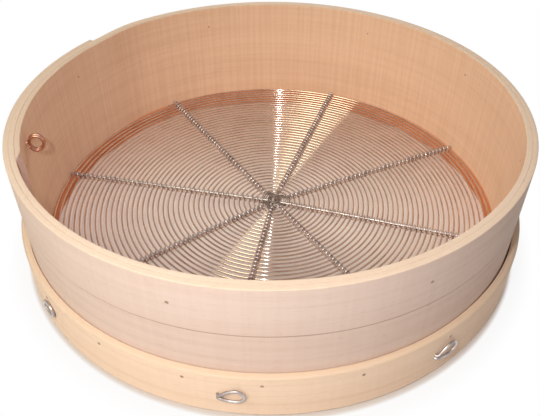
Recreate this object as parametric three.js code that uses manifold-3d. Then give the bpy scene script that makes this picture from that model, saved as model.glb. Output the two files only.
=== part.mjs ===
// A round wooden sieve: a wall of wound wood strip, a foot band nailed round it, and a floor of spiral wire
// laced to eight wire spokes. Millimetres, +Z up, origin on the sieve's axis at the foot.
import * as THREE from 'three';
import { mergeVertices } from 'three/addons/utils/BufferGeometryUtils.js';
import Module from 'manifold-3d';

const wasm = await Module();
wasm.setup();

// Wall: one strip wound a little over two turns, angles in degrees from +X
const wallHeight = 100;
const wallRadius = 175;
const stripThickness = 3.2;
const layerGap = 0.3;
const innerEndAngle = 201;
const lapSweep = 55;
const easeSweep = 15;
const facetSweep = 5;

// Scored line round the outside of the wall
const lineHeight = 64.8;
const lineWidth = 1.2;
const lineDepth = 0.6;

// Foot band with a scarfed joint at the back
const bandHeight = 34.7;
const bandThickness = 4.7;
const bandClearance = 0.3;
const scarfStartAngle = 81;
const scarfSweep = 15;
const scarfGap = 0.4;

// Floor wire, wound as a flat spiral
const floorHeight = 14.5;
const floorWire = 1.6;
const floorSides = 4;
const floorLoops = 24;
const floorStartRadius = 14;
const floorWallGap = 0.4;
const floorTailSweep = 3;
const stepsPerSpokeGap = 3;

// Middle of the floor, a little off the sieve's axis
const hubX = 2.5;
const hubY = -7;

// Spokes over the floor wire, each with a loop lying on the band and its tail tucked back into the wall
const spokeAngles = [23.2, 69.4, 122.9, 170, 217.4, 260.6, 302.4, 341.4];
const spokeWire = 2;
const spokeSides = 6;
const spokeStartRadius = 4.2;
const loopLength = 15.5;
const loopRise = 11;
const loopTilt = 14;
const loopLift = 1.6;
const loopOpening = 40;
const loopSteps = 12;
const elbowReach = 0.8;
const tailRise = 4;
const tailDepth = 8;

// Lacing round each spoke and the floor wire, one turn for every two loops of the floor
const laceWire = 0.9;
const laceSides = 4;
const laceTurns = 10;
const laceSteps = 6;
const laceFirstLoop = 2;
const laceSideReach = 2.6;

// Hub tie, woven over and under the spokes
const tieWire = 0.9;
const tieSides = 4;
const tieRounds = 2;
const tieStartRadius = 6.2;
const tieRoundPitch = 1.8;
const tieHeave = 2.5;

// Wire eye in the lap, standing out of the inner wall
const eyeAngle = 191.5;
const eyeDrop = 13;
const eyeWire = 2;
const eyeSides = 6;
const eyeReach = 10;
const eyeTall = 11.4;
const eyeStandOff = 2;
const eyeOpening = 40;
const eyeSteps = 11;
const eyeTail = 9;

// Tapered brads through the wall, high up, and through the band and the wall, under the ledge
const bradHeadRadius = 1.1;
const bradTipRadius = 0.7;
const bradSides = 6;
const bradProud = 0.2;
const wallBradHeight = 83;
const wallBradAngles = [24.1, 59.3, 109.2, 156.5, 198.5, 252.7, 298.6, 344];
const bandBradDrop = 5.7;
const bandBradAngles = [
  2, 20, 38.4, 57, 75.3, 92.4, 113, 131, 149, 167, 185, 203, 220, 236.8, 254.3, 268.5, 286.6, 305.7, 324, 343,
];

// Clearances
const wireGap = 0.3;
const holeClearance = 0.3;
const drillReach = 6;
const holeSides = 8;

// Colours
const wallColour = 0xe6cfb8;
const bandColour = 0xe9c9a3;
const wireColour = 0xb9b4ae;
const bradColour = 0x9a9085;

// Sizes that follow from the ones above
const layerPitch = stripThickness + layerGap;
const lapLayers = 3;
const wallLayers = 2;
const lapInnerRadius = wallRadius - lapLayers * stripThickness - (lapLayers - 1) * layerGap;
const wallInnerRadius = lapInnerRadius + layerPitch;
const outerEndAngle = innerEndAngle - lapSweep;
const stripSweep = wallLayers * 360 + lapSweep;
const bandInnerRadius = wallRadius + bandClearance;
const bandOuterRadius = bandInnerRadius + bandThickness;
const eyeHeight = wallHeight - eyeDrop;
const floorHalf = cornerRadius(floorWire, floorSides);
const spokeHalf = cornerRadius(spokeWire, spokeSides);
const laceHalf = cornerRadius(laceWire, laceSides);
const spokeHeight = floorHeight + floorHalf + wireGap + spokeHalf;
const dropFullness = 4 / (3 * Math.sqrt(3));
const floorEndRadius = wallInnerRadius - floorWallGap - floorHalf;
const floorPitch = (floorEndRadius - floorStartRadius) / floorLoops;
const floorEndSpoke = spokeAngles.reduce(
  (best, angle, index) => (angle < outerEndAngle - easeSweep ? index : best),
  0,
);

function radians(degrees) {
  return THREE.MathUtils.degToRad(degrees);
}

// A round wire drawn as a polygon of the same area: the distance of its corners from its middle
function cornerRadius(wire, sides) {
  const fullTurn = 2 * Math.PI;
  return (wire / 2) * Math.sqrt(fullTurn / (sides * Math.sin(fullTurn / sides)));
}

function polar(radius, degrees, height) {
  return new THREE.Vector3(radius * Math.cos(radians(degrees)), radius * Math.sin(radians(degrees)), height);
}

// A closed geometry as a solid that can be cut
function toSolid(geometry) {
  const bare = geometry.clone();
  bare.deleteAttribute('normal');
  bare.deleteAttribute('uv');
  const merged = mergeVertices(bare);
  const vertProperties = new Float32Array(merged.attributes.position.array);
  const triVerts = new Uint32Array(merged.index.array);
  return new wasm.Manifold(new wasm.Mesh({ numProp: 3, vertProperties, triVerts }));
}

function toGeometry(solid) {
  const mesh = solid.getMesh();
  const geometry = new THREE.BufferGeometry();
  geometry.setAttribute('position', new THREE.BufferAttribute(mesh.vertProperties, 3));
  geometry.setIndex(new THREE.BufferAttribute(mesh.triVerts, 1));
  geometry.computeVertexNormals();
  return geometry;
}

function cutAway(geometry, cutters) {
  const cut = cutters.reduce((solid, cutter) => solid.subtract(toSolid(cutter)), toSolid(geometry));
  return toGeometry(cut);
}

// A path that runs straight from knot to knot, with its turns shared between the runs on both sides
class KnotPath extends THREE.Curve {
  constructor(knots) {
    super();
    this.knots = knots;
  }

  knotIndex(part) {
    return Math.round(part * (this.knots.length - 1));
  }

  getPointAt(part) {
    return this.knots[this.knotIndex(part)].clone();
  }

  getTangentAt(part) {
    const index = this.knotIndex(part);
    const before = this.knots[Math.max(index - 1, 0)];
    const after = this.knots[Math.min(index + 1, this.knots.length - 1)];
    return after.clone().sub(before).normalize();
  }

  getSpacedPoints() {
    return this.knots;
  }
}

// A wire along a list of knots, drawn as a polygon of the wire's own area
function wireGeometry(knots, wire, sides) {
  const corners = [];
  for (let side = 0; side < sides; side += 1) {
    const angle = (360 * (side + 0.5)) / sides;
    const corner = polar(cornerRadius(wire, sides), angle, 0);
    corners.push(new THREE.Vector2(corner.x, corner.y));
  }
  const section = new THREE.Shape(corners);
  const extrudePath = new KnotPath(knots);
  return new THREE.ExtrudeGeometry(section, { steps: knots.length - 1, extrudePath, bevelEnabled: false });
}

// The least gap of a wire to itself, between points further apart along it than the skip
function leastGap(points, wire, skip) {
  let least = Infinity;
  for (let first = 0; first < points.length; first += 1) {
    for (let second = first + skip; second < points.length; second += 1) {
      least = Math.min(least, points[first].distanceTo(points[second]) - wire);
    }
  }
  return least;
}

function reportGap(name, points, wire, skip) {
  console.log(`${name}: least gap to itself ${leastGap(points, wire, skip).toFixed(2)} mm`);
}

// Wall strip

// How far the strip has stepped outwards, in layers, at a sweep from its inner end
function layersOut(sweep) {
  let layers = 0;
  for (let turn = 0; turn < wallLayers; turn += 1) {
    const stepStart = lapSweep + 360 * turn;
    layers += THREE.MathUtils.smoothstep(sweep, stepStart, stepStart + easeSweep);
  }
  return layers;
}

// Radius of the wall's innermost face at an angle, for what passes through the wall
function innermostRadius(angle) {
  const sweep = THREE.MathUtils.euclideanModulo(innerEndAngle - angle, 360);
  return lapInnerRadius + layerPitch * Math.min(layersOut(sweep), 1);
}

function stripOutline() {
  const outside = [];
  const inside = [];
  const steps = Math.round(stripSweep / facetSweep);
  for (let step = 0; step <= steps; step += 1) {
    const sweep = (stripSweep * step) / steps;
    const radius = lapInnerRadius + layerPitch * layersOut(sweep);
    const inner = polar(radius, innerEndAngle - sweep, 0);
    const outer = polar(radius + stripThickness, innerEndAngle - sweep, 0);
    inside.push(new THREE.Vector2(inner.x, inner.y));
    outside.push(new THREE.Vector2(outer.x, outer.y));
  }
  return new THREE.Shape([...outside, ...inside.reverse()]);
}

function scoredLineCutter() {
  const profile = [
    new THREE.Vector2(wallRadius - lineDepth, lineHeight),
    new THREE.Vector2(wallRadius + lineDepth, lineHeight - lineWidth),
    new THREE.Vector2(wallRadius + lineDepth, lineHeight + lineWidth),
    new THREE.Vector2(wallRadius - lineDepth, lineHeight),
  ];
  const ring = new THREE.LatheGeometry(profile, Math.round(360 / facetSweep));
  ring.rotateX(Math.PI / 2);
  return ring.rotateZ(radians(innerEndAngle));
}

// Foot band

function bandOutline() {
  const steps = Math.round(360 / facetSweep);
  const bandSweep = 360 - scarfGapSweep();
  const outside = [];
  const inside = [];
  for (let step = 0; step <= steps; step += 1) {
    const turn = Math.min(facetSweep * step, bandSweep);
    const outer = polar(bandOuterRadius, scarfStartAngle + scarfSweep + turn, 0);
    const inner = polar(bandInnerRadius, scarfStartAngle + turn, 0);
    outside.push(new THREE.Vector2(outer.x, outer.y));
    inside.push(new THREE.Vector2(inner.x, inner.y));
  }
  return new THREE.Shape([...outside, ...inside.reverse()]);
}

// Sweep of the scarf's gap, in degrees, measured so that the slanted faces stay the gap apart
function scarfGapSweep() {
  const slope = bandThickness / (bandInnerRadius * radians(scarfSweep));
  const along = scarfGap * Math.sqrt(1 + 1 / (slope * slope));
  return THREE.MathUtils.radToDeg(along / bandInnerRadius);
}

// Radial holes and brads

// A tapered peg along the radius at an angle and height, wide end outwards
function radialPeg(angle, height, innerRadius, outerRadius, innerEnd, outerEnd, sides) {
  const length = outerEnd - innerEnd;
  const peg = new THREE.CylinderGeometry(outerRadius, innerRadius, length, sides);
  peg.rotateZ(-Math.PI / 2);
  peg.translate(innerEnd + length / 2, 0, height);
  return peg.rotateZ(radians(angle));
}

function wireHole(angle, height, half) {
  const radius = half + holeClearance;
  const innerEnd = lapInnerRadius - drillReach;
  const outerEnd = bandOuterRadius + drillReach;
  return radialPeg(angle, height, radius, radius, innerEnd, outerEnd, holeSides);
}

// A slot along the radius for a spoke and, above it, its tail
function spokeSlot(angle) {
  const radius = spokeHalf + holeClearance;
  const outline = new THREE.Shape();
  outline.absarc(0, 0, radius, -Math.PI / 2, Math.PI / 2, false);
  outline.absarc(-tailRise, 0, radius, Math.PI / 2, (3 * Math.PI) / 2, false);
  const innerEnd = lapInnerRadius - drillReach;
  const depth = bandOuterRadius + drillReach - innerEnd;
  const slot = new THREE.ExtrudeGeometry(outline, { depth, curveSegments: holeSides / 2, bevelEnabled: false });
  slot.rotateY(Math.PI / 2);
  slot.translate(innerEnd, 0, spokeHeight);
  return slot.rotateZ(radians(angle));
}

function brad(angle, height, faceRadius) {
  const innerEnd = innermostRadius(angle);
  return radialPeg(angle, height, bradTipRadius, bradHeadRadius, innerEnd, faceRadius + bradProud, bradSides);
}

function bradHole(angle, height, faceRadius) {
  const innerEnd = lapInnerRadius - drillReach;
  const outerEnd = faceRadius + drillReach;
  const innerRadius = bradTipRadius + holeClearance;
  const outerRadius = bradHeadRadius + holeClearance;
  return radialPeg(angle, height, innerRadius, outerRadius, innerEnd, outerEnd, bradSides);
}

const bandBradHeight = bandHeight - bandBradDrop;
const spokeHoles = spokeAngles.map((angle) => spokeSlot(angle));
const eyeHole = wireHole(eyeAngle, eyeHeight, cornerRadius(eyeWire, eyeSides));
const wallBradHoles = wallBradAngles.map((angle) => bradHole(angle, wallBradHeight, wallRadius));
const bandBradHoles = bandBradAngles.map((angle) => bradHole(angle, bandBradHeight, bandOuterRadius));

// Floor wire

// Moves a point with the floor's middle, less and less out to the wall, in a frame turned by an angle
function offCentre(point, turn) {
  const share = Math.max(1 - Math.hypot(point.x, point.y) / floorEndRadius, 0);
  const shift = new THREE.Vector2(hubX, hubY).rotateAround(new THREE.Vector2(), -radians(turn));
  return new THREE.Vector3(point.x + shift.x * share, point.y + shift.y * share, point.z);
}

function floorRadius(sweep) {
  return floorStartRadius + (floorPitch * sweep) / 360;
}

// Radius where a loop of the floor passes a spoke
function floorCrossing(spokeIndex, loop) {
  const fromStart = THREE.MathUtils.euclideanModulo(spokeAngles[spokeIndex] - spokeAngles[floorEndSpoke], 360);
  return floorRadius(fromStart + 360 * loop);
}

// Sweep from one spoke to the next
function spokeGap(index) {
  const next = spokeAngles[(index + 1) % spokeAngles.length];
  return THREE.MathUtils.euclideanModulo(next - spokeAngles[index % spokeAngles.length], 360);
}

function floorPoints() {
  const startAngle = spokeAngles[floorEndSpoke];
  const pointAt = (sweep) => offCentre(polar(floorRadius(sweep), startAngle + sweep, floorHeight), 0);
  const points = [pointAt(-floorTailSweep)];
  let sweep = 0;
  for (let gap = 0; gap < floorLoops * spokeAngles.length; gap += 1) {
    const gapSweep = spokeGap(floorEndSpoke + gap);
    for (let step = 0; step < stepsPerSpokeGap; step += 1) {
      points.push(pointAt(sweep + (gapSweep * step) / stepsPerSpokeGap));
    }
    sweep += gapSweep;
  }
  points.push(pointAt(sweep));
  points.push(pointAt(sweep + floorTailSweep));
  return points;
}

// Spokes, drawn along +X and turned to their angles

// A point on the band's outside: along it, above the spoke's height and out from its face
function onBand(along, rise, lift) {
  const radius = bandOuterRadius + lift;
  return polar(radius, THREE.MathUtils.radToDeg(along / bandOuterRadius), spokeHeight + rise);
}

// A drop-shaped loop, pointed at the hole, tilted up along the band, its lower side first
function loopPoint(angle) {
  const along = (loopLength / 2) * (1 - Math.cos(angle));
  const fullness = Math.sin(angle) * Math.sin(angle / 2);
  const rise = (-loopRise * fullness) / (2 * dropFullness);
  const tilt = radians(loopTilt);
  return onBand(
    along * Math.cos(tilt) - rise * Math.sin(tilt),
    along * Math.sin(tilt) + rise * Math.cos(tilt) + tailRise / 2,
    loopLift,
  );
}

// Straight from the hub to the wall, square through the wood, then the loop and its tail
function spokePoints(angle) {
  const points = [offCentre(new THREE.Vector3(spokeStartRadius, 0, spokeHeight), angle)];
  points.push(new THREE.Vector3(innermostRadius(angle) - floorWallGap, 0, spokeHeight));
  points.push(onBand(0, 0, elbowReach));
  for (let step = 0; step <= loopSteps; step += 1) {
    const loopAngle = loopOpening + ((360 - 2 * loopOpening) * step) / loopSteps;
    points.push(loopPoint(radians(loopAngle)));
  }
  points.push(onBand(0, tailRise, elbowReach));
  points.push(onBand(0, tailRise, -tailDepth));
  return points;
}

// Lacing, drawn along +X from the first loop of the floor that it holds

function lacePoints(angle, firstCrossing) {
  const stackLow = floorHeight - floorHalf;
  const stackHigh = spokeHeight + spokeHalf;
  const middle = (stackLow + stackHigh) / 2;
  const chordEase = 1 / Math.cos(Math.PI / laceSteps);
  const reachUp = ((stackHigh - stackLow) / 2 + wireGap + laceHalf) * chordEase;
  const points = [];
  for (let step = 0; step <= laceTurns * laceSteps; step += 1) {
    const turn = step / laceSteps;
    const turnAngle = 2 * Math.PI * turn;
    const along = firstCrossing + 2 * floorPitch * turn;
    const across = laceSideReach * Math.sin(turnAngle);
    const height = middle + reachUp * Math.cos(turnAngle);
    points.push(offCentre(new THREE.Vector3(along, across, height), angle));
  }
  return points;
}

// Hub tie

function tiePoints() {
  const points = [];
  const gaps = tieRounds * spokeAngles.length;
  let sweep = 0;
  for (let gap = 0; gap < gaps; gap += 1) {
    const gapSweep = spokeGap(gap);
    for (let step = 0; step < stepsPerSpokeGap; step += 1) {
      const part = step / stepsPerSpokeGap;
      const angle = sweep + gapSweep * part;
      const radius = tieStartRadius + (tieRoundPitch * angle) / 360;
      const height = spokeHeight + tieHeave * Math.cos(Math.PI * (gap + part));
      points.push(offCentre(polar(radius, spokeAngles[0] + angle, height), 0));
    }
    sweep += gapSweep;
  }
  return points;
}

// Wire eye, drawn in the plane of +X and +Z and turned to its angle: a clenched tail outside, a shank, a ring

function eyePoints() {
  const half = cornerRadius(eyeWire, eyeSides);
  const tailRadius = wallRadius + wireGap + half;
  const points = [
    new THREE.Vector3(tailRadius, eyeTail, eyeHeight),
    new THREE.Vector3(tailRadius, half, eyeHeight),
    new THREE.Vector3(tailRadius - half, 0, eyeHeight),
    new THREE.Vector3(lapInnerRadius - eyeStandOff / 2, 0, eyeHeight),
  ];
  for (let step = 0; step <= eyeSteps; step += 1) {
    const angle = radians(eyeOpening / 2 + ((360 - 1.5 * eyeOpening) * step) / eyeSteps);
    const inward = eyeStandOff + (eyeReach / 2) * (1 - Math.cos(angle));
    points.push(new THREE.Vector3(lapInnerRadius - inward, 0, eyeHeight + (eyeTall / 2) * Math.sin(angle)));
  }
  return points;
}

// Materials

function wood(colour) {
  return new THREE.MeshStandardMaterial({ color: colour, roughness: 0.62, metalness: 0 });
}

function steel(colour) {
  return new THREE.MeshStandardMaterial({ color: colour, roughness: 0.3, metalness: 0.9 });
}

// Assembly

const sieve = new THREE.Group();

function addPiece(parent, name, geometry, material) {
  const mesh = new THREE.Mesh(geometry, material);
  mesh.name = name;
  parent.add(mesh);
  return mesh;
}

const strip = new THREE.ExtrudeGeometry(stripOutline(), { depth: wallHeight, bevelEnabled: false });
const stripCutters = [scoredLineCutter(), eyeHole, ...spokeHoles, ...wallBradHoles, ...bandBradHoles];
addPiece(sieve, 'wound_hoop', cutAway(strip, stripCutters), wood(wallColour));

const band = new THREE.ExtrudeGeometry(bandOutline(), { depth: bandHeight, bevelEnabled: false });
addPiece(sieve, 'base_band', cutAway(band, [...spokeHoles, ...bandBradHoles]), wood(bandColour));

const floorPath = floorPoints();
const pointsPerLoop = spokeAngles.length * stepsPerSpokeGap;
reportGap('floor_spiral', floorPath, 2 * floorHalf, pointsPerLoop / 2);
addPiece(sieve, 'floor_spiral', wireGeometry(floorPath, floorWire, floorSides), steel(wireColour));

spokeAngles.forEach((angle, index) => {
  const arm = new THREE.Group();
  arm.rotation.z = radians(angle);
  sieve.add(arm);
  const spokePath = spokePoints(angle);
  reportGap(`spoke_${index + 1}`, spokePath, 2 * spokeHalf, loopSteps / 2);
  addPiece(arm, `spoke_${index + 1}`, wireGeometry(spokePath, spokeWire, spokeSides), steel(wireColour));
  const lacePath = lacePoints(angle, floorCrossing(index, laceFirstLoop));
  reportGap(`lacing_${index + 1}`, lacePath, 2 * laceHalf, laceSteps / 2);
  addPiece(arm, `lacing_${index + 1}`, wireGeometry(lacePath, laceWire, laceSides), steel(wireColour));
});

const tiePath = tiePoints();
reportGap('hub_tie', tiePath, 2 * cornerRadius(tieWire, tieSides), pointsPerLoop / 2);
addPiece(sieve, 'hub_tie', wireGeometry(tiePath, tieWire, tieSides), steel(wireColour));

const eyePath = eyePoints();
reportGap('lap_eye', eyePath, 2 * cornerRadius(eyeWire, eyeSides), Math.floor(eyeSteps / 2));
const eye = addPiece(sieve, 'lap_eye', wireGeometry(eyePath, eyeWire, eyeSides), steel(wireColour));
eye.rotation.z = radians(eyeAngle);

wallBradAngles.forEach((angle, index) => {
  addPiece(sieve, `wall_brad_${index + 1}`, brad(angle, wallBradHeight, wallRadius), steel(bradColour));
});
bandBradAngles.forEach((angle, index) => {
  addPiece(sieve, `band_brad_${index + 1}`, brad(angle, bandBradHeight, bandOuterRadius), steel(bradColour));
});

export default sieve;
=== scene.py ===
import bpy
import numpy as np
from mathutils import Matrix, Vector


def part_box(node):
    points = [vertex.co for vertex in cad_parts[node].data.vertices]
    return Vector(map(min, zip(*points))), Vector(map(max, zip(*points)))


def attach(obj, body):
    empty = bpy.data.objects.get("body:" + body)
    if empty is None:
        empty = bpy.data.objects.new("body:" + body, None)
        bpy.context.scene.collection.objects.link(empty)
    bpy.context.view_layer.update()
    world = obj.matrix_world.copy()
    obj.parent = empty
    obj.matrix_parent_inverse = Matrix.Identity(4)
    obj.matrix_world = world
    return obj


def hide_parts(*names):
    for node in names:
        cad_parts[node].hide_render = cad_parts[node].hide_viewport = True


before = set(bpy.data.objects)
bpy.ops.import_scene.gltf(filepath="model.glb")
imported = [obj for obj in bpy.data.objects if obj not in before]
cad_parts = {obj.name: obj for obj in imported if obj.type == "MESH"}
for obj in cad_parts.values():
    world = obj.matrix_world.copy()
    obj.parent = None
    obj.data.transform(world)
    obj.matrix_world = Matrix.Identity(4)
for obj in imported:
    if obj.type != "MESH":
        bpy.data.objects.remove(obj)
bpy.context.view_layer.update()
print("frame:", len(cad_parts), "CAD nodes")

mm = 0.001

# what several pieces share, in metres and degrees; heights are the frame's own
sieve = {
    "wallRadius": 175 * mm,
    "wallHeight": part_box("wound_hoop")[1].z,
    "stripThickness": 3.44 * mm,
    "layerStep": 3.5 * mm,  # one layer and the gap behind it
    "bandRadius": 180 * mm,
    "bandHeight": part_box("base_band")[1].z,
    "floorHeight": 14.85 * mm,
    "floorReach": 166.9 * mm,
    "hub": np.array([2.5, -7.0, 0]) * mm,  # the floor's middle is a little off the axis
    "floorWire": 0.68 * mm,  # radii of the wires
    "spokeWire": 0.95 * mm,
    "laceWire": 0.64 * mm,
    "spokeAngles": np.array([23.2, 69.4, 122.9, 170, 217.4, 260.6, 302.4, 341.4]),
    "lapStart": 201.4,  # the strip's inner end
    "lapSweep": 55.0,
    "easeSweep": 15.0,  # in which a layer climbs on to the one below
    "wireGap": 0.05 * mm,  # between wires that lie on each other
    "wireDome": (70, 40),  # degrees up a wire's rounded end
    "bendCuts": 2,  # how often a bent wire's corners are cut
}
sieve["lapRadius"] = sieve["wallRadius"] - sieve["stripThickness"] - 2 * sieve["layerStep"]
sieve["spokeHeight"] = sieve["floorHeight"] + sieve["floorWire"] + sieve["spokeWire"] + sieve["wireGap"]
spokes = len(sieve["spokeAngles"])


# a smooth rise from 0 at start to 1 at end
def ease(value, start, end):
    part = np.clip((value - start) / (end - start), 0, 1)
    return part * part * (3 - 2 * part)


# points at a radius from the axis, an angle round it and a height
def polar(radius, angle, height):
    radius, angle, height = np.broadcast_arrays(radius, np.radians(angle), height)
    return np.stack([radius * np.cos(angle), radius * np.sin(angle), height], axis=-1)


# points turned round the axis by an angle
def turned(points, angle):
    turn = np.radians(angle)
    x, y, z = points[..., 0], points[..., 1], points[..., 2]
    return np.stack([x * np.cos(turn) - y * np.sin(turn), x * np.sin(turn) + y * np.cos(turn), z], axis=-1)


# points of the floor moved with its hub, less and less out to the wall
def offCentre(points):
    share = np.clip(1 - np.hypot(points[..., 0], points[..., 1]) / sieve["floorReach"], 0, 1)
    return points + sieve["hub"] * share[..., None]


# vectors brought to length 1
def unit(vectors):
    return vectors / np.linalg.norm(vectors, axis=-1, keepdims=True)


# length walked along a path up to each of its points
def walked(path):
    return np.concatenate([[0], np.cumsum(np.linalg.norm(np.diff(path, axis=0), axis=-1))])


# a path with its corners cut off a quarter of the way along, a few times over
def rounded(path, cuts):
    for cut in range(cuts):
        early = 0.75 * path[:-1] + 0.25 * path[1:]
        late = 0.25 * path[:-1] + 0.75 * path[1:]
        path = np.concatenate([path[:1], np.stack([early, late], axis=1).reshape(-1, 3), path[-1:]])
    return path


# a slow, repeatable waver between about -1 and 1: a few sines of seeded rates and starts
wavering = {"sines": 5, "rates": (0.7, 1.6), "divider": 3}


def waver(value, seed):
    draw = np.random.default_rng(seed)
    rates = draw.uniform(*wavering["rates"], wavering["sines"])
    starts = draw.uniform(0, 2 * np.pi, wavering["sines"])
    return sum(np.sin(value * rate + start) / wavering["divider"] for rate, start in zip(rates, starts))


# how far the bent wood strays from a true circle: sines round it, each with its share, waves and start
bending = {"stray": 0.3 * mm, "sines": ((1, 2, 0.6), (0.6, 3, 2.1), (0.3, 7, 4))}


def sway(angle):
    turn = np.radians(angle)
    sines = [share * np.sin(waves * turn + start) for share, waves, start in bending["sines"]]
    return bending["stray"] * sum(sines)


# closes grids of points into one mesh: rows run along a piece, columns go once round it, and a flat face
# shuts each end. grain is the pattern's place in metres, along and across, with one column more; marks are
# values by point
def skin(name, grids, grain, marks):
    pieces, rows, columns = grids.shape[:3]
    corner = np.arange(pieces * rows * columns).reshape(pieces, rows, columns)
    beside = np.roll(corner, -1, axis=2)
    sides = np.stack([corner[:, :-1], beside[:, :-1], beside[:, 1:], corner[:, 1:]], axis=-1).reshape(-1, 4)
    lids = np.concatenate([corner[:, 0, ::-1], corner[:, -1]])
    sideGrain = [grain[:, :-1, :-1], grain[:, :-1, 1:], grain[:, 1:, 1:], grain[:, 1:, :-1]]
    sideGrain = np.stack(sideGrain, axis=3).reshape(-1, 4, 2)
    lidGrain = np.concatenate([grain[:, 0, -2::-1], grain[:, -1, :-1]])

    # the volume's sign tells which way the faces look
    points = grids.reshape(-1, 3)
    a, b, c, d = (points[sides[:, k]] for k in range(4))
    volume = np.sum(a * (np.cross(b, c) + np.cross(c, d)))
    volume += np.sum(points[lids[:, :1]] * np.cross(points[lids[:, 1:-1]], points[lids[:, 2:]]))
    if volume < 0:
        sides, lids = sides[:, ::-1], lids[:, ::-1]
        sideGrain, lidGrain = sideGrain[:, ::-1], lidGrain[:, ::-1]

    mesh = bpy.data.meshes.new(name)
    mesh.from_pydata(points.tolist(), [], sides.tolist() + lids.tolist())
    layer = mesh.uv_layers.new(name="grain")
    layer.data.foreach_set("uv", np.concatenate([sideGrain.ravel(), lidGrain.ravel()]).astype(np.float32))
    for mark, value in marks.items():
        stored = mesh.attributes.new(mark, "FLOAT", "POINT")
        stored.data.foreach_set("value", np.broadcast_to(value, grids.shape[:3]).astype(np.float32).ravel())
    mesh.polygons.foreach_set("use_smooth", np.arange(len(mesh.polygons)) < len(sides))
    piece = bpy.data.objects.new(name, mesh)
    bpy.context.scene.collection.objects.link(piece)
    return piece


# a round wire: a circle carried along a path and held square to it, both ends rounded over. steady is a
# direction that the path never takes, and the circle is counted from it
def wire(name, path, radius, sides, steady):
    heading = unit(np.gradient(path, axis=0))
    dome = np.radians(sieve["wireDome"])[:, None]
    path = np.concatenate([
        path[:1] - heading[:1] * radius * np.sin(dome),
        path,
        path[-1:] + heading[-1:] * radius * np.sin(dome[::-1]),
    ])
    heading = np.concatenate([heading[[0, 0]], heading, heading[[-1, -1]]])
    reach = np.full(len(path), radius)
    reach[:2] = radius * np.cos(dome[:, 0])
    reach[-2:] = reach[1::-1]
    side = unit(np.cross(steady, heading))[:, None]
    top = np.cross(heading[:, None], side)
    turn = np.linspace(0, 2 * np.pi, sides + 1)
    ring = side * np.cos(turn[:-1, None]) + top * np.sin(turn[:-1, None])
    grid = path[:, None] + reach[:, None, None] * ring
    grain = np.stack(np.broadcast_arrays(walked(path)[:, None], radius * turn), axis=-1)
    return skin(name, grid[None], grain[None], {})


# a made piece gets its finish, rides on the one body and takes the place of its CAD nodes
def dress(piece, finish, slotName, *nodes):
    piece.data.materials.append(finish)
    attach(piece, "root")
    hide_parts(*nodes)
    print("made", piece.name, "in place of", nodes[0], "and", len(nodes) - 1, "more")


# a socket that takes part in sums
class Wired:
    def __init__(self, recipe, socket):
        self.recipe = recipe
        self.socket = socket

    def worked(self, operation, first, second):
        return self.recipe.node("ShaderNodeMath", {"operation": operation}, {0: first, 1: second})

    def __add__(self, other):
        return self.worked("ADD", self, other)

    def __radd__(self, other):
        return self.worked("ADD", other, self)

    def __sub__(self, other):
        return self.worked("SUBTRACT", self, other)

    def __rsub__(self, other):
        return self.worked("SUBTRACT", other, self)

    def __mul__(self, other):
        return self.worked("MULTIPLY", self, other)

    def __rmul__(self, other):
        return self.worked("MULTIPLY", other, self)


noiseSettings = {"aside": 0.37, "roughness": 0.6}


# a node tree being filled
class Recipe:
    def __init__(self, tree):
        self.tree = tree
        tree.nodes.clear()

    def node(self, kind, settings, sockets, output=0):
        made = self.tree.nodes.new(kind)
        for key, value in settings.items():
            setattr(made, key, value)
        for key, value in sockets.items():
            if isinstance(value, Wired):
                self.tree.links.new(value.socket, made.inputs[key])
            else:
                made.inputs[key].default_value = value
        return Wired(self, made.outputs[output]) if made.outputs else None

    def mix(self, share, first, second, blend="MIX"):
        settings = {"data_type": "RGBA", "blend_type": blend}
        return self.node("ShaderNodeMix", settings, {0: share, 6: first, 7: second}, 2)

    def rise(self, value, low, high):
        sockets = {"Value": value, "From Min": low, "From Max": high}
        return self.node("ShaderNodeMapRange", {"interpolation_type": "SMOOTHSTEP"}, sockets)

    def mark(self, name):
        return self.node("ShaderNodeAttribute", {"attribute_name": name}, {}, 2)

    # noise stretched along and across the pattern's own map, moved by the finish's seed and its own shift
    def grain(self, place, seed, along, across, detail, shift):
        start = (seed + shift, noiseSettings["aside"] * (seed + shift), 0)
        sockets = {"Vector": place, "Location": start, "Scale": (along, across, 1)}
        stretched = self.node("ShaderNodeMapping", {}, sockets)
        fineness = noiseSettings["roughness"]
        sockets = {"Vector": stretched, "Scale": 1.0, "Detail": detail, "Roughness": fineness}
        return self.node("ShaderNodeTexNoise", {"noise_dimensions": "2D"}, sockets)


# an empty material and its node tree, ready to be filled
def newMaterial(name):
    material = bpy.data.materials.new(name)
    material.use_nodes = True
    return material, Recipe(material.node_tree)


# a colour picked on screen, as the shader's own light values
def tint(red, green, blue):
    screen = np.array([red, green, blue]) / 255
    light = np.where(screen < 0.04045, screen / 12.92, ((screen + 0.055) / 1.055) ** 2.4)
    return (*light.tolist(), 1.0)


# the wood's patterns: noise along and across the strip per metre, its detail and its shift, and the noise
# values from which it starts to show and shows fully
woodGrain = {
    "bands": (1.4, 30, 3, 0), "bandLimits": (0.32, 0.7),
    "streaks": (5, 260, 5, 3), "streakLimits": (0.42, 0.72),
    "fibres": (40, 2300, 4, 5),
    "flecks": (120, 1300, 2, 7), "fleckLimits": (0.66, 0.78),
    "chatter": (330, 6, 3, 9), "chatterLimits": (0.36, 0.64),
    "streakRoughness": 0.1, "fibreRoughness": 0.08,
    "fibreHeight": 0.6, "streakHeight": 0.4, "fleckDepth": 0.5, "chatterHeight": 0.3,
    "bumpDepth": 0.3 * mm, "gloss": 0.12,
}


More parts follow.
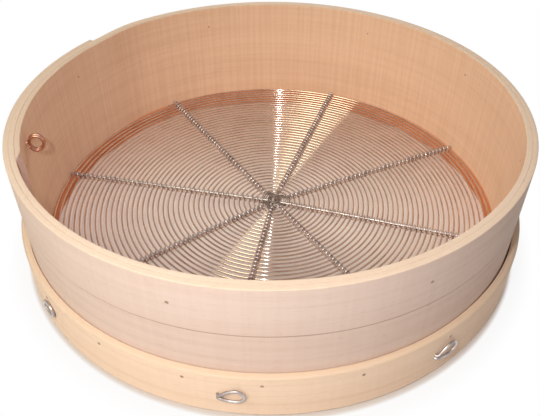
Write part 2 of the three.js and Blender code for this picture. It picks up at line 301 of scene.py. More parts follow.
# bare planed wood: slow bands and thin streaks along the strip, short brown flecks and faint marks across it,
# which are stronger on the inner face. That face is given a warmer tone than the outer one, with painted
# shade deepening it towards its foot; the sawn edges, the ends and the scored line have tones of their own
def woodFinish(look):
    material, recipe = newMaterial(look["name"])
    place = recipe.node("ShaderNodeUVMap", {"uv_map": "grain"}, {})
    seed = look["seed"]
    bands = recipe.rise(recipe.grain(place, seed, *woodGrain["bands"]), *woodGrain["bandLimits"])
    streaks = recipe.rise(recipe.grain(place, seed, *woodGrain["streaks"]), *woodGrain["streakLimits"])
    fibres = recipe.grain(place, seed, *woodGrain["fibres"])
    flecks = recipe.rise(recipe.grain(place, seed, *woodGrain["flecks"]), *woodGrain["fleckLimits"])
    chatter = recipe.rise(recipe.grain(place, seed, *woodGrain["chatter"]), *woodGrain["chatterLimits"])
    up = recipe.node("ShaderNodeSeparateXYZ", {}, {0: recipe.node("ShaderNodeTexCoord", {}, {}, 3)}, 2)
    # painted shade: the inner face turns to a deeper, warmer tone towards its foot, under the floor
    inside = recipe.mix(recipe.rise(up, *look["footFade"]), look["foot"], look["inside"])
    inner = recipe.mark("inner")
    colour = recipe.mix(inner, look["outside"], inside)
    colour = recipe.mix(recipe.mark("cut") * look["sawnShare"], colour, look["sawn"])
    colour = recipe.mix(recipe.mark("end"), colour, look["end"])
    colour = recipe.mix(bands * look["bandShare"], colour, look["deepen"], "MULTIPLY")
    colour = recipe.mix(streaks * look["streakShare"], colour, look["deepen"], "MULTIPLY")
    colour = recipe.mix(flecks * look["fleckShare"], colour, look["deepen"], "MULTIPLY")
    chatterShare = look["chatterShare"] + look["innerChatter"] * inner
    colour = recipe.mix(chatter * chatterShare, colour, look["deepen"], "MULTIPLY")
    colour = recipe.mix(recipe.mark("line") * look["lineShare"], colour, look["line"])
    rough = look["roughness"] + woodGrain["streakRoughness"] * streaks + woodGrain["fibreRoughness"] * fibres
    height = woodGrain["fibreHeight"] * fibres + woodGrain["streakHeight"] * streaks
    height = height - woodGrain["fleckDepth"] * flecks + woodGrain["chatterHeight"] * chatter
    sockets = {"Height": height, "Strength": look["relief"], "Distance": woodGrain["bumpDepth"]}
    bump = recipe.node("ShaderNodeBump", {}, sockets)
    sockets = {
        "Base Color": colour, "Roughness": rough, "Normal": bump,
        "Specular IOR Level": woodGrain["gloss"],
    }
    shader = recipe.node("ShaderNodeBsdfPrincipled", {}, sockets)
    recipe.node("ShaderNodeOutputMaterial", {}, {"Surface": shader})
    return material


steelGrain = {
    "lines": (60, 5200, 2, 0), "lineRoughness": 0.02,  # as the wood's patterns are given
    "patchDetail": 3.0, "patchLimits": (0.4, 0.68),
    "relief": 0.02, "bumpDepth": 0.05 * mm,
    "drawnTurn": 0.25,  # a quarter, so that a drawn wire's highlight spreads round it
}


# drawn steel wire: fine lines along it and patches that have gone dull
def steelFinish(look):
    material, recipe = newMaterial(look["name"])
    place = recipe.node("ShaderNodeUVMap", {"uv_map": "grain"}, {})
    spread = recipe.node("ShaderNodeTexCoord", {}, {}, 3)
    sockets = {"Vector": spread, "Scale": look["patchScale"], "Detail": steelGrain["patchDetail"]}
    patches = recipe.rise(recipe.node("ShaderNodeTexNoise", {}, sockets), *steelGrain["patchLimits"])
    lines = recipe.grain(place, look["seed"], *steelGrain["lines"])
    colour = recipe.mix(patches, look["bright"], look["dull"])
    rough = look["roughness"] + look["dullRoughness"] * patches + steelGrain["lineRoughness"] * lines
    sockets = {"Height": lines, "Strength": steelGrain["relief"], "Distance": steelGrain["bumpDepth"]}
    bump = recipe.node("ShaderNodeBump", {}, sockets)
    sockets = {
        "Base Color": colour, "Metallic": look["metallic"], "Roughness": rough, "Normal": bump,
        "Anisotropic": look["drawn"], "Anisotropic Rotation": steelGrain["drawnTurn"],
    }
    shader = recipe.node("ShaderNodeBsdfPrincipled", {}, sockets)
    recipe.node("ShaderNodeOutputMaterial", {}, {"Surface": shader})
    return material


# outline of a strip with eased corners, once round from the foot of its outer face: outer face up, top edge
# in, inner face down, foot edge out. heights are the stops on the two faces, from 0 to the full height, and
# the easings of the outer and inner corners are given row by row. Gives each point's depth from the inner
# face and its height, by row, and marks for the sawn edges and the inner face
def stripOutline(thickness, height, outer, inner, heights):
    corner = np.radians([22.5, 45, 67.5])
    sine, cosine = np.sin(corner), np.cos(corner)
    across = np.linspace(0, 1, 3)
    inwards = thickness - outer + (outer + inner - thickness) * across
    face = len(heights)
    edge = len(across) + 2 * len(corner)
    over = len(corner) - 1  # of a corner's points, those that look like the inner face
    depth = [
        thickness + 0 * heights, thickness - outer * (1 - cosine), inwards, inner * (1 - sine),
        0 * heights, inner * (1 - cosine), inwards[:, ::-1], thickness - outer * (1 - sine),
    ]
    level = [
        np.clip(heights, outer, height - outer), height - outer * (1 - sine), height + 0 * across,
        height - inner * (1 - cosine),
        np.clip(heights[::-1], inner, height - inner), inner * (1 - sine), 0 * across, outer * (1 - cosine),
    ]
    sawn = np.concatenate([np.zeros(face), np.ones(edge), np.zeros(face), np.ones(edge)])
    inside = np.concatenate([np.zeros(face + edge - over), np.ones(face + 2 * over), np.zeros(edge - over)])
    byRow = [
        np.concatenate([np.broadcast_to(part, (len(outer), np.shape(part)[-1])) for part in parts], axis=1)
        for parts in (depth, level)
    ]
    return *byRow, sawn, inside


# distance round a strip's first row to each of its points, and back to the first
def roundOutline(depth, level):
    outline = np.stack([depth[0], level[0]], axis=-1)
    return walked(np.concatenate([outline, outline[:1]]))


# radius of the strip's inner face after a sweep from its inner end: two climbs, each of one layer
def stripRadius(sweep):
    firstClimb = ease(sweep, sieve["lapSweep"], sieve["lapSweep"] + sieve["easeSweep"])
    secondClimb = ease(sweep, 360 + sieve["lapSweep"], 360 + sieve["lapSweep"] + sieve["easeSweep"])
    return sieve["lapRadius"] + sieve["layerStep"] * (firstClimb + secondClimb)


# radius of the innermost wood at an angle
def wallInside(angle):
    return stripRadius(np.mod(sieve["lapStart"] - angle, 360))


# the wall: one strip wound a little over two turns and scored once round its outside, with its inner end
# cut on a slope
hoop = {
    "easing": 0.55 * mm,  # of the corners that show, and of those between the layers
    "hiddenEasing": 0.18 * mm,
    "support": 1.1 * mm,  # rows this close to an edge keep its shading narrow
    "lineHeight": 64.8 * mm,
    "lineHalf": 0.55 * mm,
    "lineDepth": 0.6 * mm,
    "lineStops": np.array([-2, -1.2, -1, 0, 1, 1.2, 2]),  # in half widths
    "lineClear": 5 * mm,  # to the next stop below and above
    "stopsBelow": 6,
    "stopsAbove": 4,
    "step": 1.25,  # degrees between rows
    "outerStart": (375.0, 385.0),  # past the lap, where the strip comes to lie outermost
    "innerEnd": (345.0, 360.0),  # where it is no longer innermost
    "unevenTop": 0.28 * mm,
    "unevenSeed": 5,
    "endEasing": 0.4 * mm,
    "endSlope": 2.6,  # degrees that the inner end's back edge lies ahead of its front edge
    "slopeSweep": 9.0,  # in which that is gone
}
wallWood = {
    "name": "wallWood", "seed": 2.3,
    "outside": tint(232, 208, 197), "inside": tint(246, 209, 180), "sawn": tint(232, 206, 182),
    # the foot tone is painted shade low on the inner face
    "foot": tint(238, 156, 108), "footFade": (12 * mm, 16 * mm),
    "end": tint(240, 208, 196), "line": tint(150, 108, 88), "deepen": tint(216, 190, 166),
    "bandShare": 0.15, "streakShare": 0.13, "fleckShare": 0.35, "chatterShare": 0.05, "innerChatter": 0.1,
    "sawnShare": 0.8, "lineShare": 0.9,
    "roughness": 0.6, "relief": 0.2,
}
stripSweep = 720 + sieve["lapSweep"]
sweep = np.linspace(0, stripSweep, int(stripSweep / hoop["step"]) + 1)
endStep = np.degrees(hoop["endEasing"] / sieve["wallRadius"])
sweep = np.concatenate([sweep[:1], [endStep], sweep[1:-1], [stripSweep - endStep], sweep[-1:]])[:, None]
lineStops = hoop["lineHeight"] + hoop["lineHalf"] * hoop["lineStops"]
lowStops = np.linspace(hoop["support"], lineStops[0] - hoop["lineClear"], hoop["stopsBelow"])
topStop = sieve["wallHeight"] - hoop["support"]
highStops = np.linspace(lineStops[-1] + hoop["lineClear"], topStop, hoop["stopsAbove"])
stops = np.concatenate([[0], lowStops, lineStops, highStops, [sieve["wallHeight"]]])
outerStart = np.array(hoop["outerStart"]) + sieve["lapSweep"]
outermost = ease(sweep, *outerStart)
innermost = 1 - ease(sweep, *hoop["innerEnd"])
shown = hoop["easing"] - hoop["hiddenEasing"]
depth, level, sawn, inner = stripOutline(
    sieve["stripThickness"], sieve["wallHeight"],
    hoop["hiddenEasing"] + shown * outermost, hoop["hiddenEasing"] + shown * innermost, stops,
)
scored = np.zeros(len(sawn))
scored[1 + len(lowStops) + len(lineStops) // 2] = 1
ending = (sweep == 0) | (sweep == stripSweep)  # the two end rows are drawn in, which eases the ends
inset = hoop["endEasing"] * ending
depthGrid = np.clip(depth, inset, sieve["stripThickness"] - inset) - hoop["lineDepth"] * outermost * scored
uneven = (1 + waver(np.radians(sweep), hoop["unevenSeed"])) / 2
uneven = 1 - hoop["unevenTop"] / sieve["wallHeight"] * uneven
levelGrid = np.clip(level, inset, sieve["wallHeight"] - inset) * uneven
slope = hoop["endSlope"] * (1 - ease(sweep, 0, hoop["slopeSweep"]))
angle = sieve["lapStart"] - sweep + slope * depth / sieve["stripThickness"]
hoopGrid = polar(stripRadius(sweep) + depthGrid + sway(angle), angle, levelGrid)
along = np.radians(sweep) * sieve["wallRadius"]
hoopGrain = np.stack(np.broadcast_arrays(along, roundOutline(depth, level)), axis=-1)
hoopMarks = {"cut": sawn, "inner": inner, "end": ending, "line": outermost * scored}
woundWall = skin("woundWall", hoopGrid[None], hoopGrain[None], hoopMarks)
dress(woundWall, woodFinish(wallWood), "wall_wood", "wound_hoop")


# the foot band: a thicker strip bent once round the wall, with its two ends planed to slopes that lie on
# each other
band = {
    "clearance": 0.3 * mm,
    "easing": 0.5 * mm,  # of the inner corners
    "outerEasing": 1.8 * mm,
    "support": 2.2 * mm,
    "stops": 6,
    "scarfStart": 81.0,
    "scarfSweep": 15.0,
    "scarfGap": 1.2,
    "step": 1.25,
    "slackAngle": 329.0,  # where the band has sprung off the wall a little
    "slackSweep": 20.0,
    "slack": 0.6 * mm,
}
bandWood = {
    "name": "bandWood", "seed": 8.1,
    "outside": tint(250, 221, 198), "inside": tint(238, 200, 166), "sawn": tint(220, 194, 170),
    # the foot tone is painted shade low on the inner face
    "foot": tint(238, 192, 152), "footFade": (12 * mm, 16 * mm),
    "end": tint(214, 184, 160), "line": tint(168, 122, 96), "deepen": tint(216, 188, 160),
    "bandShare": 0.14, "streakShare": 0.14, "fleckShare": 0.35, "chatterShare": 0.04, "innerChatter": 0.1,
    "sawnShare": 0.8, "lineShare": 0.0,
    "roughness": 0.56, "relief": 0.2,
}
bandInside = sieve["wallRadius"] + band["clearance"]
bandThickness = sieve["bandRadius"] - bandInside
stops = np.linspace(band["support"], sieve["bandHeight"] - band["support"], band["stops"])
stops = np.concatenate([[0], stops, [sieve["bandHeight"]]])
bandSweep = 360 - band["scarfGap"]
sweep = np.linspace(0, bandSweep, int(bandSweep / band["step"]) + 1)[:, None]
outerEasing = np.full(sweep.shape, band["outerEasing"])
innerEasing = np.full(sweep.shape, band["easing"])
depth, level, sawn, inner = stripOutline(
    bandThickness, sieve["bandHeight"], outerEasing, innerEasing, stops,
)
angle = band["scarfStart"] + sweep + band["scarfSweep"] * depth / bandThickness
offSlack = np.mod(angle - band["slackAngle"] + 180, 360) - 180
slack = band["slack"] * (1 - ease(np.abs(offSlack), 0, band["slackSweep"]))
bandGrid = polar(bandInside + depth + slack + sway(angle), angle, level)
along = np.radians(sweep) * sieve["bandRadius"]
bandGrain = np.stack(np.broadcast_arrays(along, roundOutline(depth, level)), axis=-1)
bandMarks = {"cut": sawn, "inner": inner, "end": 0.0, "line": 0.0}
footBand = skin("footBand", bandGrid[None], bandGrain[None], bandMarks)
dress(footBand, woodFinish(bandWood), "band_wood", "base_band")


# the floor: one wire wound outwards as a flat spiral
spiral = {
    "turns": 41,
    "startRadius": 10.2 * mm,
    "endRadius": 166.5 * mm,
    "endAngle": 125.4,
    "stepsPerTurn": 112,
    "sides": 10,
    "strayOut": 0.1 * mm,
    "outRate": 2.3,
    "outSeed": 11,
    "strayUp": 0.1 * mm,
    "upRate": 3.1,
    "upSeed": 12,
}
floorSteel = {
    "name": "floorSteel", "seed": 1.7,
    "bright": tint(238, 218, 202), "dull": tint(224, 200, 182), "patchScale": 60.0,
    "metallic": 1.0, "roughness": 0.12, "dullRoughness": 0.02, "drawn": 1.0,
}
spiralPitch = (spiral["endRadius"] - spiral["startRadius"]) / spiral["turns"]
sweep = np.linspace(0, 360 * spiral["turns"], spiral["turns"] * spiral["stepsPerTurn"] + 1)
strayOut = spiral["strayOut"] * waver(np.radians(sweep) * spiral["outRate"], spiral["outSeed"])
strayUp = spiral["strayUp"] * waver(np.radians(sweep) * spiral["upRate"], spiral["upSeed"])
radius = spiral["startRadius"] + spiralPitch * sweep / 360 + strayOut
height = sieve["floorHeight"] + strayUp
spiralPath = offCentre(polar(radius, spiral["endAngle"] + sweep, height))
spiralWire = wire("floorSpiral", spiralPath, sieve["floorWire"], spiral["sides"], np.array([0, 0, 1]))
dress(spiralWire, steelFinish(floorSteel), "floor_wire", "floor_spiral")


# a spoke: straight over the floor wire and out through the wood, then a drop-shaped loop on the band, its
# lower side first, and its tail tucked back into the wood above. Drawn along +X, then turned
spoke = {
    "startRadius": 4.2 * mm,
    "loopLength": 15.5 * mm,
    "loopRise": 9.6 * mm,
    "loopTilt": 14.0,
    "loopLift": 1.5 * mm,
    "loopOpening": 40.0,
    "elbowReach": 0.9 * mm,
    "holeDepth": 2 * mm,  # the bends begin this deep in the hole
    "tailRise": 2.6 * mm,
    "tailDepth": 8 * mm,
    "straightPoints": 24,
    "loopPoints": 19,
    "steady": (1.0, -1.0, 0.15),
    "sides": 12,
}
spokeSteel = {
    "name": "spokeSteel", "seed": 3.9,
    "bright": tint(200, 190, 188), "dull": tint(166, 154, 152), "patchScale": 160.0,
    "metallic": 0.8, "roughness": 0.32, "dullRoughness": 0.1, "drawn": 0.0,
}


# a point on the band by the spoke's hole: so far along the band, up it and off it
def onBand(along, up, lift):
    angle = np.degrees(along / sieve["bandRadius"])
    return polar(sieve["bandRadius"] + lift, angle, sieve["spokeHeight"] + up)


loopAngle = np.linspace(spoke["loopOpening"], 360 - spoke["loopOpening"], spoke["loopPoints"])
loopAngle = np.radians(loopAngle)
dropFullness = 4 / (3 * np.sqrt(3))  # the most that the drop's two sines reach together
dropAlong = spoke["loopLength"] / 2 * (1 - np.cos(loopAngle))
dropUp = -spoke["loopRise"] * np.sin(loopAngle) * np.sin(loopAngle / 2) / (2 * dropFullness)
tilt = np.radians(spoke["loopTilt"])
straightEnd = sieve["bandRadius"] - spoke["holeDepth"]
straight = np.linspace(spoke["startRadius"], straightEnd, spoke["straightPoints"])
spokePath = np.concatenate([
    polar(straight, 0, sieve["spokeHeight"]),
    onBand(0, 0, np.array([spoke["elbowReach"]])),
    onBand(
        dropAlong * np.cos(tilt) - dropUp * np.sin(tilt),
        dropAlong * np.sin(tilt) + dropUp * np.cos(tilt) + spoke["tailRise"] / 2,
        spoke["loopLift"],
    ),
    onBand(0, spoke["tailRise"], np.array([spoke["elbowReach"], -spoke["holeDepth"], -spoke["tailDepth"]])),
])
spokePath = rounded(spokePath, sieve["bendCuts"])
steady = unit(np.array(spoke["steady"]))
spokeFinish = steelFinish(spokeSteel)
for index, spokeAngle in enumerate(sieve["spokeAngles"]):
    placed = offCentre(turned(spokePath, spokeAngle))
    aside = turned(steady, spokeAngle)
    spokeWire = wire(f"spokeWire{index + 1}", placed, sieve["spokeWire"], spoke["sides"], aside)
    dress(spokeWire, spokeFinish, "spoke_wire", f"spoke_{index + 1}")


# lacing: down beside a spoke between two turns of the floor, slanting under the next turn, up the other side
# and over the spoke, once for each turn
lacing = {
    "steps": 20, "sides": 8, "sideGap": 0.25 * mm,
    "stray": 0.25 * mm, "strayRate": 4.7, "straySeed": 20, "straySide": 0.5, "strayUp": 0.4,
}
laceSteel = {
    "name": "laceSteel", "seed": 6.2,
    "bright": tint(228, 214, 210), "dull": tint(194, 178, 173), "patchScale": 160.0,
    "metallic": 0.75, "roughness": 0.24, "dullRoughness": 0.1, "drawn": 0.0,
}
laceFinish = steelFinish(laceSteel)
stackLow = sieve["floorHeight"] - sieve["floorWire"]
stackHigh = sieve["spokeHeight"] + sieve["spokeWire"]
reachUp = (stackHigh - stackLow) / 2 + sieve["laceWire"] + sieve["wireGap"]
reachSide = sieve["spokeWire"] + sieve["laceWire"] + lacing["sideGap"]
for index, spokeAngle in enumerate(sieve["spokeAngles"]):
    sinceStart = np.mod(spokeAngle - spiral["endAngle"], 360)
    firstCrossing = spiral["startRadius"] + spiralPitch * sinceStart / 360
    turns = int((spiral["endRadius"] - firstCrossing) / spiralPitch)
    count = np.linspace(0, turns, turns * lacing["steps"] + 1)
    whole, turn = np.floor(count), 2 * np.pi * np.mod(count, 1)
    slant = np.where(np.cos(turn) < 0, -np.sin(turn), np.where(turn < np.pi, -1, 1)) / 2
    stray = lacing["stray"] * waver(count * lacing["strayRate"], lacing["straySeed"] + index)
    along = firstCrossing + spiralPitch * (whole + slant) + stray * np.clip(np.cos(turn), 0, 1) ** 2
    across = (reachSide + stray * lacing["straySide"]) * np.sin(turn)
    up = (stackLow + stackHigh) / 2 + (reachUp + np.abs(stray) * lacing["strayUp"]) * np.cos(turn)
    lacePath = offCentre(turned(np.stack([along, across, up], axis=-1), spokeAngle))
    steady = turned(np.array([1.0, 0, 0]), spokeAngle)
    laceWire = wire(f"laceWire{index + 1}", lacePath, sieve["laceWire"], lacing["sides"], steady)
    dress(laceWire, laceFinish, "lace_wire", f"lacing_{index + 1}")


# hub tie: wound up from a knot over the middle, then woven out over and under the spokes
tie = {
    "knotTurns": 3, "knotStart": 1.3 * mm, "knotTop": 3.4 * mm, "knotSpread": 1.4, "knotSteps": 30,
    "weaveStart": 5.2 * mm, "pitch": 1.6 * mm, "rounds": 3, "heave": 1.65 * mm, "weaveSteps": 14,
    "sides": 8,
}
tieSteel = {
    "name": "tieSteel", "seed": 7.6,
    "bright": tint(186, 170, 163), "dull": tint(128, 111, 104), "patchScale": 220.0,
    "metallic": 0.9, "roughness": 0.3, "dullRoughness": 0.14, "drawn": 0.0,
}
spokeTurns = np.append(sieve["spokeAngles"], sieve["spokeAngles"][0] + 360)
knot = np.linspace(0, 1, tie["knotSteps"] * tie["knotTurns"], endpoint=False)
knotPath = polar(
    tie["knotStart"] + (tie["weaveStart"] - tie["knotStart"]) * knot ** tie["knotSpread"],
    sieve["spokeAngles"][0] - 360 * tie["knotTurns"] * (1 - knot),
    sieve["spokeHeight"] + tie["knotTop"] + (tie["heave"] - tie["knotTop"]) * knot,
)
gaps = spokes * tie["rounds"]
weave = np.linspace(0, gaps, gaps * tie["weaveSteps"])  # counted in gaps between spokes
weaveAngle = np.interp(np.mod(weave, spokes), np.arange(spokes + 1), spokeTurns)
weaveAngle = weaveAngle + 360 * np.floor(weave / spokes)
weavePath = polar(
    tie["weaveStart"] + tie["pitch"] * (weaveAngle - sieve["spokeAngles"][0]) / 360,
    weaveAngle,
    sieve["spokeHeight"] + tie["heave"] * np.cos(np.pi * weave),
)
tiePath = offCentre(np.concatenate([knotPath, weavePath]))
tieWire = wire("hubTie", tiePath, sieve["laceWire"], tie["sides"], np.array([0, 0, 1]))
dress(tieWire, steelFinish(tieSteel), "lace_wire", "hub_tie")


# lap eye: a ring of two turns side by side that stands out of the inner wall, its shank through the lap, its
# tail clenched outside
eye = {
    "angle": 191.5, "height": 87 * mm, "wire": 1.0 * mm, "reach": 9.2 * mm, "tall": 10.2 * mm,
    "standOff": 2 * mm, "opening": 16.0, "sweep": 690.0, "turnStep": 2.15 * mm, "ringPoints": 80,
    "tail": 9 * mm, "tailGap": 0.3 * mm, "elbow": 3, "sides": 12,  # the elbow is in wire radii
}
# the eye's copper-brown tone is a painted reflection of the warm wood round it
eyeSteel = {
    "name": "eyeSteel", "seed": 9.4,
    "bright": tint(214, 166, 142), "dull": tint(184, 126, 102), "patchScale": 160.0,
    "metallic": 1.0, "roughness": 0.32, "dullRoughness": 0.15, "drawn": 0.0,
}
ringAngle = np.linspace(eye["opening"], eye["opening"] + eye["sweep"], eye["ringPoints"])
ringAngle = np.radians(ringAngle)
tailRadius = sieve["wallRadius"] + eye["wire"] + eye["tailGap"]
elbow = eye["elbow"] * eye["wire"]
shank = np.array([
    [tailRadius, eye["tail"], eye["height"]],
    [tailRadius, elbow, eye["height"]],
    [tailRadius, 0, eye["height"]],
    [tailRadius - elbow, 0, eye["height"]],
    [sieve["lapRadius"], 0, eye["height"]],
])
inward = eye["standOff"] + eye["reach"] / 2 * (1 - np.cos(ringAngle))
ringUp = eye["height"] + eye["tall"] / 2 * np.sin(ringAngle)
ringAside = eye["turnStep"] * (ringAngle - ringAngle.mean()) / (2 * np.pi)
ring = np.stack([sieve["lapRadius"] - inward, ringAside, ringUp], axis=-1)
eyePath = turned(rounded(np.concatenate([shank, ring]), sieve["bendCuts"]), eye["angle"])
aside = turned(unit(np.array([-1.0, 1.0, 0])), eye["angle"])
eyeWire = wire("lapEye", eyePath, eye["wire"], eye["sides"], aside)
dress(eyeWire, steelFinish(eyeSteel), "eye_wire", "lap_eye")


# brads: low domed heads outside and a tapered shank with a blunt tip. The wall's come just through the inner
# face, the band's stop short of it. Rings are counted from the tip to the head's dome
brad = {
    "headRadius": 1.1 * mm,
    "shankRadius": 0.75 * mm,
    "tipRadius": 0.3 * mm,
    "headRise": 0.25 * mm,
    "tipRise": 0.3 * mm,
    "bandTipDepth": 1.2 * mm,
    "tipRings": np.array([1, 1, 1, 0, 0, 0, 0]),
    "ringsIn": np.array([1.0, 0.4, 0, 0, 0, 0, 0]),  # in tip rises
    "ringsOut": np.array([0, 0, 0, -0.05, 0.1, 0.6, 1.0]),  # in head rises
    "taper": 0.8,  # of the shank before its tip, and of the head's dome
    "domeTop": 0.3,
    "sides": 14,
    "wallHeight": 83 * mm,
    "wallAngles": np.array([24.1, 59.3, 109.2, 156.5, 198.5, 252.7, 298.6, 344]),
    "bandHeight": 29 * mm,
    "bandAngles": np.array([
        2, 20, 38.4, 57, 75.3, 92.4, 113, 131, 149, 167,
        185, 203, 220, 236.8, 254.3, 268.5, 286.6, 305.7, 324, 343,
    ]),
}
bradSteel = {
    "name": "bradSteel", "seed": 4.4,
    "bright": tint(184, 152, 132), "dull": tint(160, 126, 106), "patchScale": 400.0,
    "metallic": 0.2, "roughness": 0.5, "dullRoughness": 0.2, "drawn": 0.0,
}


# one row of brads: circles carried along the radius, each ring with its distance from the axis and its girth
def bradRow(name, angles, height, face, tipDepth):
    inside = (wallInside(angles) + tipDepth + sway(angles))[:, None]
    face = (face + sway(angles))[:, None]
    inward = brad["ringsIn"] * brad["tipRise"]
    outward = brad["ringsOut"] * brad["headRise"]
    distance = brad["tipRings"] * (inside - inward) + (1 - brad["tipRings"]) * (face + outward)
    girth, head, taper = brad["shankRadius"], brad["headRadius"], brad["taper"]
    girths = [brad["tipRadius"], taper * girth, girth, head, head, taper * head, brad["domeTop"] * head]
    girths = np.array(girths)[:, None]
    turn = np.linspace(0, 2 * np.pi, brad["sides"] + 1)
    around, up = girths * np.cos(turn[:-1]), girths * np.sin(turn[:-1])
    grids = np.stack(np.broadcast_arrays(distance[:, :, None], around[None], height + up[None]), axis=-1)
    grids = turned(grids, angles[:, None, None])
    grain = np.stack(np.broadcast_arrays(distance[:, :, None], (turn * head)[None, None]), axis=-1)
    return skin(name, grids, grain, {})


bradFinish = steelFinish(bradSteel)
wallNodes = [f"wall_brad_{k + 1}" for k in range(len(brad["wallAngles"]))]
bandNodes = [f"band_brad_{k + 1}" for k in range(len(brad["bandAngles"]))]
wallBrads = bradRow("wallBrads", brad["wallAngles"], brad["wallHeight"], sieve["wallRadius"], 0)
dress(wallBrads, bradFinish, "brad_steel", *wallNodes)
bandBrads = bradRow(
    "bandBrads", brad["bandAngles"], brad["bandHeight"], sieve["bandRadius"], brad["bandTipDepth"],
)
dress(bandBrads, bradFinish, "brad_steel", *bandNodes)


# a pale table that turns up at its edge as a backdrop: flat, then a quarter of a wide arc, carried round the
# axis. Seen straight or mirrored it is white, but for the sieve's shadow under it and near the foot. Under
# the sieve its colour holds painted warm light towards the back and painted shade towards the front, and a
# share of it glows
table = {
    "rings": (0.02, 0.3), "flat": 1.7, "bend": 1.0, "bendSteps": 10, "drop": 0.3 * mm, "sides": 48,
    "colour": tint(250, 238, 230), "speck": tint(244, 230, 220), "speckScale": 30.0, "speckDetail": 3.0,
    "outer": tint(212, 206, 201), "outerFade": (0.172, 0.185),
    # under the sieve: a share of painted glow, and painted warm light and painted shade by place
    "underShare": 0.25, "underGlow": tint(255, 232, 220),
    "backFade": (0.0, 0.14), "backTone": tint(226, 190, 168),  # warm light off the wall's foot
    "frontFade": (-0.01, -0.10), "frontTone": tint(216, 198, 188),  # in the front wall's shade
    "nearFade": (0.180, 0.184), "nearShare": 0.9, "farFade": (0.184, 0.2),
}
bendAngle = np.radians(np.linspace(0, 90, table["bendSteps"]))
tableRadius = np.concatenate([table["rings"], table["flat"] + table["bend"] * np.sin(bendAngle)])
tableHeight = np.concatenate([np.zeros(len(table["rings"])), table["bend"] * (1 - np.cos(bendAngle))])
tableHeight = tableHeight - table["drop"]
turn = np.linspace(0, 360, table["sides"], endpoint=False)
tableGrid = polar(tableRadius[:, None], turn, tableHeight[:, None])
corner = np.arange(tableGrid.shape[0] * table["sides"]).reshape(-1, table["sides"])
beside = np.roll(corner, -1, axis=1)
tableFaces = np.stack([corner[:-1], corner[1:], beside[1:], beside[:-1]], axis=-1).reshape(-1, 4)
tableMesh = bpy.data.meshes.new("table")
tableMesh.from_pydata(tableGrid.reshape(-1, 3).tolist(), [], tableFaces.tolist() + [corner[0].tolist()])
material, recipe = newMaterial("tableWhite")
spread = recipe.node("ShaderNodeTexCoord", {}, {}, 3)
away = recipe.node("ShaderNodeVectorMath", {"operation": "LENGTH"}, {0: spread}, 1)
near = recipe.rise(away, *table["nearFade"]) * (table["nearShare"] - table["underShare"])
white = near + recipe.rise(away, *table["farFade"]) * (1 - table["nearShare"]) + table["underShare"]
seen = recipe.node("ShaderNodeLightPath", {}, {}, "Is Camera Ray")
seen = seen + recipe.node("ShaderNodeLightPath", {}, {}, "Is Glossy Ray")
seen = seen + recipe.node("ShaderNodeLightPath", {}, {}, "Is Transmission Ray")
sockets = {"Vector": spread, "Scale": table["speckScale"], "Detail": table["speckDetail"]}
speckle = recipe.node("ShaderNodeTexNoise", {}, sockets)
colour = recipe.mix(speckle, table["colour"], table["speck"])
farther = recipe.node("ShaderNodeSeparateXYZ", {}, {0: spread}, 1)
back, front = recipe.rise(farther, *table["backFade"]), recipe.rise(farther, *table["frontFade"])
# painted warm light towards the back and painted shade towards the front
colour = recipe.mix(front, recipe.mix(back, colour, table["backTone"]), table["frontTone"])
colour = recipe.mix(recipe.rise(away, *table["outerFade"]), colour, table["outer"])
matt = recipe.node("ShaderNodeBsdfDiffuse", {}, {"Color": colour})
# painted light: under the sieve a share of what is seen straight is the table's own tinted glow
under = recipe.mix(front, recipe.mix(back, table["underGlow"], table["backTone"]), table["frontTone"])
glow = recipe.mix(recipe.rise(away, *table["nearFade"]), under, (1, 1, 1, 1))
plain = recipe.node("ShaderNodeEmission", {}, {"Color": glow, "Strength": 1.0})
shader = recipe.node("ShaderNodeMixShader", {}, {0: white * seen, 1: matt, 2: plain})
recipe.node("ShaderNodeOutputMaterial", {}, {"Surface": shader})
tableMesh.materials.append(material)
tableTop = bpy.data.objects.new("table", tableMesh)
bpy.context.scene.collection.objects.link(tableTop)
print("table laid")


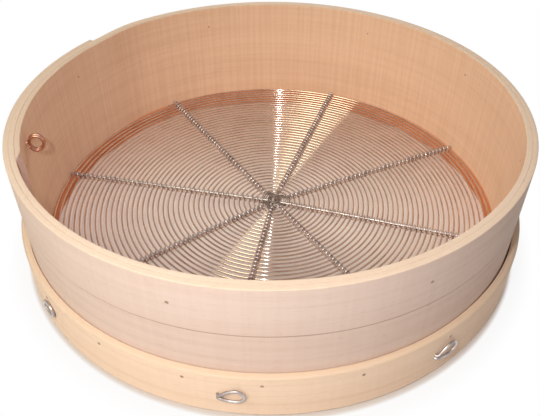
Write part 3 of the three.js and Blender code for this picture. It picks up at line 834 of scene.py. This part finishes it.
# a warm window from the left front and the taller pane that the wires mirror, the camera's own flash, which
# draws the white line on the wires, a soft lamp that only lights the far side, and a pale sky
light = {
    "window": {
        "at": (-0.48, -0.62, 0.80), "wide": 0.6, "tall": 0.6, "watts": 5.2,
        "colour": (0.96, 0.965, 0.76), "lights": True, "mirrored": True,
    },
    "pane": {
        "at": (-0.48, -0.62, 0.80), "wide": 0.6, "tall": 1.3, "watts": 6.0,
        "colour": (0.96, 0.965, 0.76), "lights": False, "mirrored": True,
    },
    "flash": {
        "at": (-0.048, -0.355, 0.342), "wide": 0.014, "tall": 0.014, "watts": 0.74,
        "colour": (0.98, 0.98, 1.03), "lights": True, "mirrored": True,
    },
    "farSide": {
        "at": (0.05, 0.56, 0.36), "wide": 0.3, "tall": 0.3, "watts": 1.05,
        "colour": (1, 0.97, 0.93), "lights": True, "mirrored": False,
    },
    "sky": (1.0, 0.98, 0.96, 1.0),
    "skyStrength": 0.36,
}
for name in ("window", "pane", "flash", "farSide"):
    lamp = bpy.data.lights.new(name, "AREA")
    lamp.shape = "RECTANGLE"
    lamp.energy = light[name]["watts"]
    lamp.size = light[name]["wide"]
    lamp.size_y = light[name]["tall"]
    lamp.color = light[name]["colour"]
    holder = bpy.data.objects.new(name, lamp)
    holder.location = light[name]["at"]
    holder.rotation_euler = Vector(light[name]["at"]).to_track_quat("Z", "Y").to_euler()
    holder.visible_camera = False
    holder.visible_diffuse = light[name]["lights"]
    holder.visible_glossy = light[name]["mirrored"]
    bpy.context.scene.collection.objects.link(holder)
world = bpy.data.worlds.new("sky")
world.use_nodes = True
bpy.context.scene.world = world
recipe = Recipe(world.node_tree)
glow = recipe.node("ShaderNodeBackground", {}, {"Color": light["sky"], "Strength": light["skyStrength"]})
recipe.node("ShaderNodeOutputWorld", {}, {"Surface": glow})


# the photograph's view: straight from the front, about 40 degrees down
view = {
    "at": (-0.00032, -0.37413, 0.31948), "tilt": 49.822,
    "sensor": 36.0, "focalPixels": 621.74, "framePixels": 540, "nearest": 0.01,
}
lens = bpy.data.cameras.new("view")
lens.sensor_fit = "HORIZONTAL"
lens.sensor_width = view["sensor"]
lens.lens = view["sensor"] * view["focalPixels"] / view["framePixels"]
lens.clip_start = view["nearest"]
camera = bpy.data.objects.new("view", lens)
camera.location = view["at"]
camera.rotation_euler = (np.radians(view["tilt"]), 0, 0)
bpy.context.scene.collection.objects.link(camera)
bpy.context.scene.camera = camera
bpy.context.scene.view_settings.view_transform = "Standard"
print("lights and camera set")
